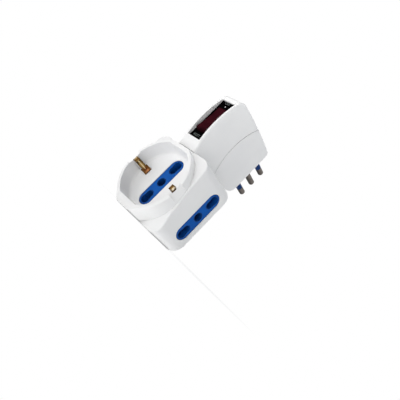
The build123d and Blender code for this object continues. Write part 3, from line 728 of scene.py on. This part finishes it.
class Finish(Enum):
    """Every finish on the adapter."""

    WHITE = MouldedPlastic(
        "white_moulding",
        plain(0.9, 0.9, 0.895),
        grey(0.875),
        gloss=(0.3, 0.42),
        shine=0.4,
        # Painted shade in the crevices and seams of the white mouldings.
        hollow_shade=plain(0.3, 0.3, 0.31),
        hollow_shade_reach=1.6 * MM,
        hollow_shade_from=(0.05, 0.42),
    )
    BLUE = MouldedPlastic(
        "blue_moulding",
        plain(0.004, 0.1, 0.43),
        plain(0.003, 0.082, 0.37),
        gloss=(0.38, 0.5),
        grain=Grain.SPARK,
        shine=0.1,
        # Painted shade in the holes and along the edges of the inserts.
        hollow_shade=plain(0.001, 0.006, 0.03),
        edge_shade=plain(0.0012, 0.014, 0.07),
    )
    BLACK = MouldedPlastic(
        "black_moulding",
        plain(0.0028, 0.0028, 0.003),
        plain(0.0016, 0.0016, 0.0018),
        gloss=(0.45, 0.6),
        grain=Grain.SPARK,
        shine=0.0,
    )
    SLEEVE = MouldedPlastic(
        "sleeve_blue",
        plain(0.004, 0.038, 0.17),
        plain(0.002, 0.024, 0.11),
        gloss=(0.42, 0.55),
        grain=Grain.SPARK,
        shine=0.1,
        # Painted shade where the sleeves are closed in.
        hollow_shade=plain(0.001, 0.006, 0.03),
    )
    # Pins with a painted highlight on their sides along X and painted shade towards Z.
    PIN = HighlitPin(
        "nickel_plate",
        bright=plain(0.16, 0.141, 0.128),
        dull=plain(0.02, 0.017, 0.015),
        radius=2.0 * MM,
    )
    # Clip brass whose tones hold painted reflections, a painted glint, painted shade and a painted
    # highlight.
    CLIP = ShadedTarnishedBrass(
        "clip_brass",
        root=plain(0.05, 0.012, 0.004),
        foot_glint=plain(0.3, 0.13, 0.055),
        leaf=plain(0.4, 0.25, 0.08),
        bend=plain(0.16, 0.08, 0.024),
        end=plain(0.9, 0.78, 0.58),
        tarnish_and_shade=plain(0.06, 0.028, 0.008),
        root_x=14.2 * MM,
        end_x=20.8 * MM,
        middle_z=-48.5 * MM,
    )
    # Painted highlight: the ribs are far paler than the clip's brass, so that they gleam along the
    # leaf.
    RIB = RolledMetal(
        "highlit_brass", plain(0.92, 0.76, 0.46), plain(0.7, 0.5, 0.22), gloss=(0.14, 0.26)
    )
    BRASS = RolledMetal(
        "rolled_brass", plain(0.7, 0.45, 0.17), plain(0.48, 0.28, 0.09), gloss=(0.2, 0.36)
    )
    STEEL = RolledMetal(
        "zinc_steel", grey(0.6), plain(0.42, 0.42, 0.43), gloss=(0.3, 0.5)
    )
    ROCKER = SmokedRocker(
        "smoked_rocker",
        red=plain(0.055, 0.007, 0.012),
        deep=plain(0.026, 0.004, 0.007),
        black=plain(0.0022, 0.002, 0.0024),
        black_from=6.6 * MM,
        dark_to=(-12.4 * MM, -9.4 * MM),
    )
    BROWN_LEAD = LeadSheath("brown_sheath", plain(0.09, 0.035, 0.015), plain(0.08, 0.03, 0.013))
    BLUE_LEAD = LeadSheath("blue_sheath", plain(0.02, 0.09, 0.35), plain(0.018, 0.08, 0.32))
    EARTH_LEAD = LeadSheath("earth_sheath", plain(0.5, 0.45, 0.03), plain(0.05, 0.22, 0.05))
    GLASS = LampGlass("lamp_glass", plain(0.95, 0.62, 0.42), plain(0.98, 0.92, 0.86))
    RESISTOR = MouldedPlastic(
        "resistor_lacquer", plain(0.5, 0.36, 0.2), plain(0.42, 0.3, 0.16), gloss=(0.4, 0.6)
    )
    INK = PrintInk("grey_print", plain(0.16, 0.18, 0.175), plain(0.07, 0.08, 0.078))
    DOT = PrintInk("white_print", grey(0.62), grey(0.45))


@dataclass
class Paints:
    """The built materials, one for each finish."""

    made: dict[Finish, bpy.types.Material] = field(default_factory=dict)

    def get(self, finish: Finish) -> bpy.types.Material:
        """The finish's material, made when it is first asked for.

        Args:
            finish: the finish.

        Returns:
            Its material.
        """
        if finish not in self.made:
            self.made[finish] = finish.value.build()
        return self.made[finish]

    def node(self, name: str, finish: Finish) -> None:
        """Give a node of the frame its finish.

        Args:
            name: the node's name.
            finish: the finish.
        """
        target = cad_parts[name]
        for slot in target.material_slots:
            slot.material = self.get(finish)
        LOG.info("dressed %s in %s", name, finish.value.name)

    def nodes(self, names: tuple[str, ...], finish: Finish) -> None:
        """Give several nodes of the frame the same finish."""
        for name in names:
            self.node(name, finish)


def keep(
    name: str, mesh: bpy.types.Mesh, body: Body, paint: bpy.types.Material
) -> None:
    """Add a finished mesh to the scene as a piece that moves with a body.

    Args:
        name: the piece's name.
        mesh: its mesh, already in place.
        body: the body that it moves with.
        paint: its finish.
    """
    piece = bpy.data.objects.new(name, mesh)
    bpy.context.scene.collection.objects.link(piece)
    mesh.materials.clear()
    mesh.materials.append(paint)
    for face in mesh.polygons:
        face.use_smooth = True
    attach(piece, body.value)
    LOG.info("built %s on %s", name, body.value)


def surface_at(node: str, start: Point, towards: Point) -> tuple[Vector, Vector]:
    """Where a straight line meets a node of the frame.

    Args:
        node: the node's name.
        start: where the line starts, in metres.
        towards: its direction.

    Returns:
        The point met and the surface's outward normal there.
    """
    tree = BVHTree.FromObject(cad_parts[node], bpy.context.evaluated_depsgraph_get())
    point, normal, _, _ = tree.ray_cast(Vector(start), Vector(towards))
    return point, normal


def circle(centre: Vector, right: Vector, up: Vector, radius: float, sides: int) -> list[Vector]:
    """Points spaced evenly round a circle.

    Args:
        centre: the circle's centre.
        right: the direction of the first point.
        up: the direction of the point a quarter of the way round.
        radius: the circle's radius.
        sides: how many points.

    Returns:
        The points in order.
    """
    angles = [FULL_TURN * turn / sides for turn in range(sides)]
    return [centre + (right * math.cos(a) + up * math.sin(a)) * radius for a in angles]


def skinned(name: str, rings: list[list[Vector]]) -> bpy.types.Mesh:
    """A closed mesh over a row of rings.

    Args:
        name: the mesh's name.
        rings: rings of points, with as many points each.

    Returns:
        The mesh.
    """
    draft = bmesh.new()
    rows = [[draft.verts.new(point) for point in ring] for ring in rings]
    for near, far in zip(rows, rows[1:]):
        for turn in range(len(near)):
            after = (turn + 1) % len(near)
            draft.faces.new((near[turn], near[after], far[after], far[turn]))
    draft.faces.new(rows[0][::-1])
    draft.faces.new(rows[-1])
    bmesh.ops.recalc_face_normals(draft, faces=draft.faces)
    mesh = bpy.data.meshes.new(name)
    draft.to_mesh(mesh)
    draft.free()
    return mesh


@dataclass
class SocketBlock:
    """The lower block: its housing, back cover and screws."""

    housing: tuple[str, ...] = ("socket_housing", "back_cover")
    screws: tuple[str, ...] = ("cover_screws", "neck_screws")

    def build(self, paints: Paints) -> None:
        """Give the block its finishes."""
        paints.nodes(self.housing, Finish.WHITE)
        paints.nodes(self.screws, Finish.STEEL)


@dataclass
class SocketFaces:
    """The blue inserts, and the earth clips in the recess with the ribs pressed into them.

    A rib swells from the share rib_end at each end to its full radius over rib_ease steps.
    """

    inserts: tuple[str, ...] = ("front_socket_insert", "right_socket_insert", "left_socket_insert")
    clips: str = "earth_bracket"
    rib_radius: float = 0.42 * MM
    rib_tip_gap: float = 0.9 * MM
    rib_root_gap: float = 2.0 * MM
    rib_sides: int = 12
    rib_steps: int = 14
    rib_ease: int = 2
    rib_end: float = 0.35
    clip_height: float = -48.5 * MM

    def rib_path(self, side: Side) -> list[Vector]:
        """Points along the inner face of one clip, from its tip to its root.

        Args:
            side: which clip.

        Returns:
            Points on the clip's surface.
        """
        low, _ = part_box(self.clips)
        first = low.y + self.rib_tip_gap
        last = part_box("front_socket_insert")[0].y - self.rib_root_gap
        path = []
        for step in range(self.rib_steps + 1):
            y = first + (last - first) * step / self.rib_steps
            point, _ = surface_at(self.clips, (0, y, self.clip_height), (side.value, 0, 0))
            if point is not None:
                path.append(point)
        return path

    def rib(self, side: Side, paints: Paints) -> None:
        """Lay a round pressed rib along one clip.

        Args:
            side: which clip.
            paints: the finishes.
        """
        path = self.rib_path(side)
        last = len(path) - 1
        across = Vector((0, 0, 1))
        rings = []
        for index, point in enumerate(path):
            ahead = path[min(index + 1, last)] - path[max(index - 1, 0)]
            outward = ahead.normalized().cross(across)
            share = min(index, last - index) / self.rib_ease
            fullness = min(1.0, self.rib_end + (1 - self.rib_end) * share)
            radius = self.rib_radius * math.sin(QUARTER_TURN * fullness)
            rings.append(circle(point, outward, across, radius, self.rib_sides))
        mesh = skinned(f"{side.name.lower()}_clip_rib", rings)
        keep(mesh.name, mesh, Body.ADAPTER, paints.get(Finish.RIB))

    def build(self, paints: Paints) -> None:
        """Give the inserts and clips their finishes and lay the ribs.

        Args:
            paints: the finishes.
        """
        paints.nodes(self.inserts, Finish.BLUE)
        paints.node(self.clips, Finish.CLIP)
        for side in Side:
            self.rib(side, paints)


@dataclass
class PlugBody:
    """The two shells of the plug body, its pins, their sleeves and the bar that holds them."""

    shells: tuple[str, ...] = ("plug_front_shell", "plug_rear_shell")
    pins: tuple[str, ...] = ("earth_pin", "upper_pin", "lower_pin")
    sleeves: tuple[str, ...] = ("upper_pin_sleeve", "lower_pin_sleeve")
    carrier: str = "pin_carrier"

    def build(self, paints: Paints) -> None:
        """Give the plug body its finishes.

        Args:
            paints: the finishes.
        """
        paints.nodes(self.shells, Finish.WHITE)
        paints.nodes(self.pins, Finish.PIN)
        paints.nodes(self.sleeves, Finish.SLEEVE)
        paints.node(self.carrier, Finish.BLACK)


@dataclass
class RockerSwitch:
    """The switch in the plug's front: frame, rocker, words and the rocker's dot.

    cap_share is the height of a capital in letters of size 1. dot_levels gives the dot's rings
    from below, as shares of its radius and of the print's lift.
    """

    mouldings: tuple[str, ...] = ("switch_frame", "switch_case")
    rocker: str = "switch_rocker"
    pivot: str = "rocker_pivot"
    print_lift: float = 0.04 * MM
    print_weld: float = 0.0004 * MM
    letter_steps: int = 3
    cap_share: float = 0.69
    word_shift: float = -0.5 * MM
    reset_height: float = 1.6 * MM
    reset_from_end: float = 2.2 * MM
    reset_stretch: float = 0.9
    off_height: float = 1.35 * MM
    off_from_end: float = 1.1 * MM
    off_stretch: float = 1.25
    dot_radius: float = 0.45 * MM
    dot_from_end: float = 1.4 * MM
    dot_sides: int = 24
    dot_levels: tuple[Pair, ...] = ((1.0, -1.0), (1.0, 0.6), (0.8, 1.0))

    def letters(self, word: Word, height: float) -> bpy.types.Mesh:
        """The flat letters of a word, round the origin.

        Args:
            word: what it says.
            height: the height of its letters.

        Returns:
            The letters' mesh.
        """
        curve = bpy.data.curves.new("draft_word", "FONT")
        curve.body = word.value
        curve.align_x = "CENTER"
        curve.align_y = "CENTER"
        curve.size = height / self.cap_share
        curve.extrude = self.print_lift
        curve.resolution_u = self.letter_steps
        text = bpy.data.objects.new("draft_word", curve)
        bpy.context.scene.collection.objects.link(text)
        bpy.context.view_layer.update()
        shaped = text.evaluated_get(bpy.context.evaluated_depsgraph_get())
        mesh = bpy.data.meshes.new_from_object(shaped)
        bpy.data.objects.remove(text)
        return mesh

    def word(
        self, word: Word, height: float, middle: float, stretch: float, paints: Paints
    ) -> None:
        """Print a word across the frame.

        Args:
            word: what it says.
            height: the height of its letters.
            middle: the middle of the word along Z.
            stretch: how much wider than the plain letters it is.
            paints: the finishes.
        """
        low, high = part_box("switch_frame")
        mesh = self.letters(word, height)
        upright = Matrix.Rotation(QUARTER_TURN, 4, "X") @ Matrix.Diagonal((stretch, 1, 1, 1))
        place = ((low.x + high.x) / 2 + self.word_shift, low.y, middle)
        mesh.transform(Matrix.Translation(place) @ upright)
        draft = bmesh.new()
        draft.from_mesh(mesh)
        bmesh.ops.remove_doubles(draft, verts=draft.verts, dist=self.print_weld)
        draft.to_mesh(mesh)
        draft.free()
        name = f"{word.name.lower()}_word"
        keep(name, mesh, Body.ADAPTER, paints.get(Finish.INK))

    def words(self, paints: Paints) -> None:
        """Print both words, each near its end of the frame.

        Args:
            paints: the finishes.
        """
        low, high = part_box("switch_frame")
        reset_middle = low.z + self.reset_from_end
        off_middle = high.z - self.off_from_end
        self.word(Word.RESET, self.reset_height, reset_middle, self.reset_stretch, paints)
        self.word(Word.OFF, self.off_height, off_middle, self.off_stretch, paints)

    def dot(self, paints: Paints) -> None:
        """Print a low round dot on the black end of the rocker.

        Args:
            paints: the finishes.
        """
        low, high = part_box("switch_rocker")
        start = (0, low.y - self.dot_radius, high.z - self.dot_from_end)
        centre, normal = surface_at(self.rocker, start, (0, 1, 0))
        across = Vector((1, 0, 0))
        upward = normal.cross(across)
        rings = []
        for share, lift in self.dot_levels:
            middle = centre + normal * self.print_lift * lift
            rings.append(circle(middle, across, upward, self.dot_radius * share, self.dot_sides))
        mesh = skinned("rocker_dot", rings)
        keep("rocker_dot", mesh, Body.ROCKER, paints.get(Finish.DOT))

    def build(self, paints: Paints) -> None:
        """Give the switch its finishes and print on it.

        Args:
            paints: the finishes.
        """
        paints.nodes(self.mouldings, Finish.BLACK)
        paints.node(self.rocker, Finish.ROCKER)
        paints.node(self.pivot, Finish.STEEL)
        self.words(paints)
        self.dot(paints)


@dataclass
class InnerWorks:
    """What is sealed inside: contact strips, terminals, lamp, resistor and leads."""

    strips: tuple[str, ...] = ("upper_contact_strip", "earth_contact_strip", "lower_contact_strip")
    terminals: tuple[str, ...] = ("upper_terminal", "lower_terminal", "bimetal_strip")
    lamp: str = "neon_lamp"
    resistor: str = "lamp_resistor"
    brown_leads: tuple[str, ...] = ("pin_lead", "switch_lead")
    blue_lead: str = "lower_lead"
    earth_lead: str = "earth_lead"

    def build(self, paints: Paints) -> None:
        """Give the inner pieces their finishes.

        Args:
            paints: the finishes.
        """
        paints.nodes(self.strips + self.terminals, Finish.BRASS)
        paints.node(self.lamp, Finish.GLASS)
        paints.node(self.resistor, Finish.RESISTOR)
        paints.nodes(self.brown_leads, Finish.BROWN_LEAD)
        paints.node(self.blue_lead, Finish.BLUE_LEAD)
        paints.node(self.earth_lead, Finish.EARTH_LEAD)


@dataclass(frozen=True)
class SoftLamp:
    """One square soft light that faces a point of the studio.

    It hangs at a distance from its aim, in the direction of towards.
    """

    name: str
    towards: Point
    power: float
    size: float = 0.6
    distance: float = 0.9
    aim: Point = (0.0, -0.02, -0.03)
    tint: Point = (1.0, 1.0, 1.0)

    def hang(self) -> None:
        """Hang the light so that it faces its aim."""
        light = bpy.data.lights.new(self.name, "AREA")
        light.size = self.size
        light.energy = self.power
        light.color = self.tint
        lamp = bpy.data.objects.new(self.name, light)
        away = Vector(self.towards).normalized() * self.distance
        lamp.location = Vector(self.aim) + away
        lamp.rotation_euler = (-away).to_track_quat("-Z", "Y").to_euler()
        bpy.context.scene.collection.objects.link(lamp)


@dataclass
class Studio:
    """Floor, soft lights and the camera.

    The floor glows like a light table, from the first value of floor_glow behind the adapter to
    the second in front of it, between the places in glow_from along Y. The camera sees the share
    floor_white of plain white in it beside the block, and all white past floor_fade.
    """

    floor_size: float = 8.0
    floor_tones: Pair = (0.93, 0.95)
    floor_clouds: float = 6.0
    floor_white: float = 0.65
    floor_fade: Pair = (0.045, 0.08)
    floor_glow: Pair = (0.2, 0.87)
    glow_from: Pair = (0.03, -0.18)
    camera_place: Point = (0.16926, -0.19762, -0.0706)
    camera_aim: Point = (-0.6594, 0.7402, 0.1315)
    camera_roll: float = 44.3
    camera_lens: float = 36.0
    camera_sensor: float = 36.0
    camera_near: float = 0.005
    sky: float = 0.08
    lamps: tuple[SoftLamp, ...] = (
        SoftLamp("key_light", (-0.65, -0.45, 0.61), 3.1),
        SoftLamp("front_light", (0.45, -0.9, 0.0), 1.2, 0.5, aim=(0.0, -0.02, -0.05)),
        SoftLamp("low_light", (-0.05, -1.0, 0.0), 2.0, 0.5, aim=(0.0, -0.02, -0.05)),
        SoftLamp(
            "side_light",
            (0.55, 0.15, 0.72),
            0.62,
            size=0.25,
            distance=0.38,
            aim=(0.0, -0.02, 0.0),
            tint=(0.93, 0.96, 1.0),
        ),
        SoftLamp("back_light", (-0.35, 1.0, 0.25), 1.6),
    )

    def seen(self, tree: bpy.types.NodeTree) -> Socket:
        """Tell what the camera, metal and glass see from the light that falls on the adapter.

        Args:
            tree: the node tree that asks.

        Returns:
            The socket of 1 for what is seen, 0 for the light.
        """
        path = tree.nodes.new("ShaderNodeLightPath")
        value = path.outputs["Is Camera Ray"]
        for name in ("Is Glossy Ray", "Is Transmission Ray"):
            either = tree.nodes.new("ShaderNodeMath")
            either.operation = "MAXIMUM"
            tree.links.new(value, either.inputs[0])
            tree.links.new(path.outputs[name], either.inputs[1])
            value = either.outputs["Value"]
        return value

    def floor_paint(self) -> bpy.types.Material:
        """Make the floor's finish: pale and glowing, and seen as white away from the block.

        Returns:
            The material.
        """
        sheet = MaterialSheet("pale_floor")
        low, high = (grey(tone) for tone in self.floor_tones)
        pale = sheet.clouds(self.floor_clouds, NOISE_DETAIL, NOISE_RANGE, low, high)
        sheet.feed(pale, "Base Color")
        sheet.set(Roughness=1.0, Specular_IOR_Level=0.0, Emission_Color=grey(1.0))
        glow = sheet.spread(sheet.along(Axis.Y), *self.floor_glow, *self.glow_from)
        sheet.feed(glow, "Emission Strength")
        length = sheet.add("ShaderNodeVectorMath", operation="LENGTH")
        sheet.link(sheet.place, length.inputs[0])
        fade = sheet.spread(length.outputs["Value"], self.floor_white, 1.0, *self.floor_fade)
        share = sheet.add("ShaderNodeMath", operation="MULTIPLY")
        sheet.link(self.seen(sheet.tree), share.inputs[0])
        sheet.link(fade, share.inputs[1])
        white = sheet.add("ShaderNodeEmission")
        mix = sheet.add("ShaderNodeMixShader")
        sheet.link(share.outputs["Value"], mix.inputs["Fac"])
        sheet.link(sheet.shader.outputs["BSDF"], mix.inputs[1])
        sheet.link(white.outputs["Emission"], mix.inputs[2])
        sheet.link(mix.outputs["Shader"], sheet.tree.nodes["Material Output"].inputs["Surface"])
        return sheet.material

    def floor(self) -> None:
        """Lay the floor under the block."""
        low, _ = CAD_BOX
        half = self.floor_size / 2
        corners = [(-half, -half, 0), (half, -half, 0), (half, half, 0), (-half, half, 0)]
        mesh = bpy.data.meshes.new("floor")
        mesh.from_pydata(corners, [], [(0, 1, 2, 3)])
        mesh.materials.append(self.floor_paint())
        floor = bpy.data.objects.new("floor", mesh)
        floor.location.z = low[2]
        bpy.context.scene.collection.objects.link(floor)

    def background(self) -> None:
        """Hang a soft grey sky that the camera sees as white."""
        world = bpy.data.worlds.new("studio_sky")
        world.use_nodes = True
        bpy.context.scene.world = world
        tree = world.node_tree
        sky = tree.nodes["Background"]
        sky.inputs["Color"].default_value = grey(self.sky)
        white = tree.nodes.new("ShaderNodeBackground")
        white.inputs["Color"].default_value = grey(1.0)
        mix = tree.nodes.new("ShaderNodeMixShader")
        tree.links.new(self.seen(tree), mix.inputs["Fac"])
        tree.links.new(sky.outputs["Background"], mix.inputs[1])
        tree.links.new(white.outputs["Background"], mix.inputs[2])
        tree.links.new(mix.outputs["Shader"], tree.nodes["World Output"].inputs["Surface"])

    def camera(self) -> None:
        """Set the camera at the photograph's angle."""
        data = bpy.data.cameras.new("camera")
        data.lens = self.camera_lens
        data.sensor_width = self.camera_sensor
        data.clip_start = self.camera_near
        forward = Vector(self.camera_aim).normalized()
        level = forward.cross(Vector((0, 0, 1))).normalized()
        upright = level.cross(forward)
        roll = math.radians(self.camera_roll)
        right = level * math.cos(roll) + upright * math.sin(roll)
        up = right.cross(forward)
        turn = Matrix((right, up, -forward)).transposed().to_4x4()
        camera = bpy.data.objects.new("camera", data)
        camera.matrix_world = Matrix.Translation(self.camera_place) @ turn
        bpy.context.scene.collection.objects.link(camera)
        bpy.context.scene.camera = camera

    def build(self) -> None:
        """Set up the whole studio."""
        bpy.context.scene.view_settings.view_transform = "Standard"
        self.floor()
        self.background()
        for lamp in self.lamps:
            lamp.hang()
        self.camera()


def main() -> None:
    """Build every sub-assembly in order and report each piece."""
    logging.basicConfig(level=logging.INFO, format="%(name)s: %(message)s")
    paints = Paints()
    for assembly in (SocketBlock(), SocketFaces(), PlugBody(), RockerSwitch(), InnerWorks()):
        assembly.build(paints)
    Studio().build()
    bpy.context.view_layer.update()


if __name__ == "__main__":
    main()
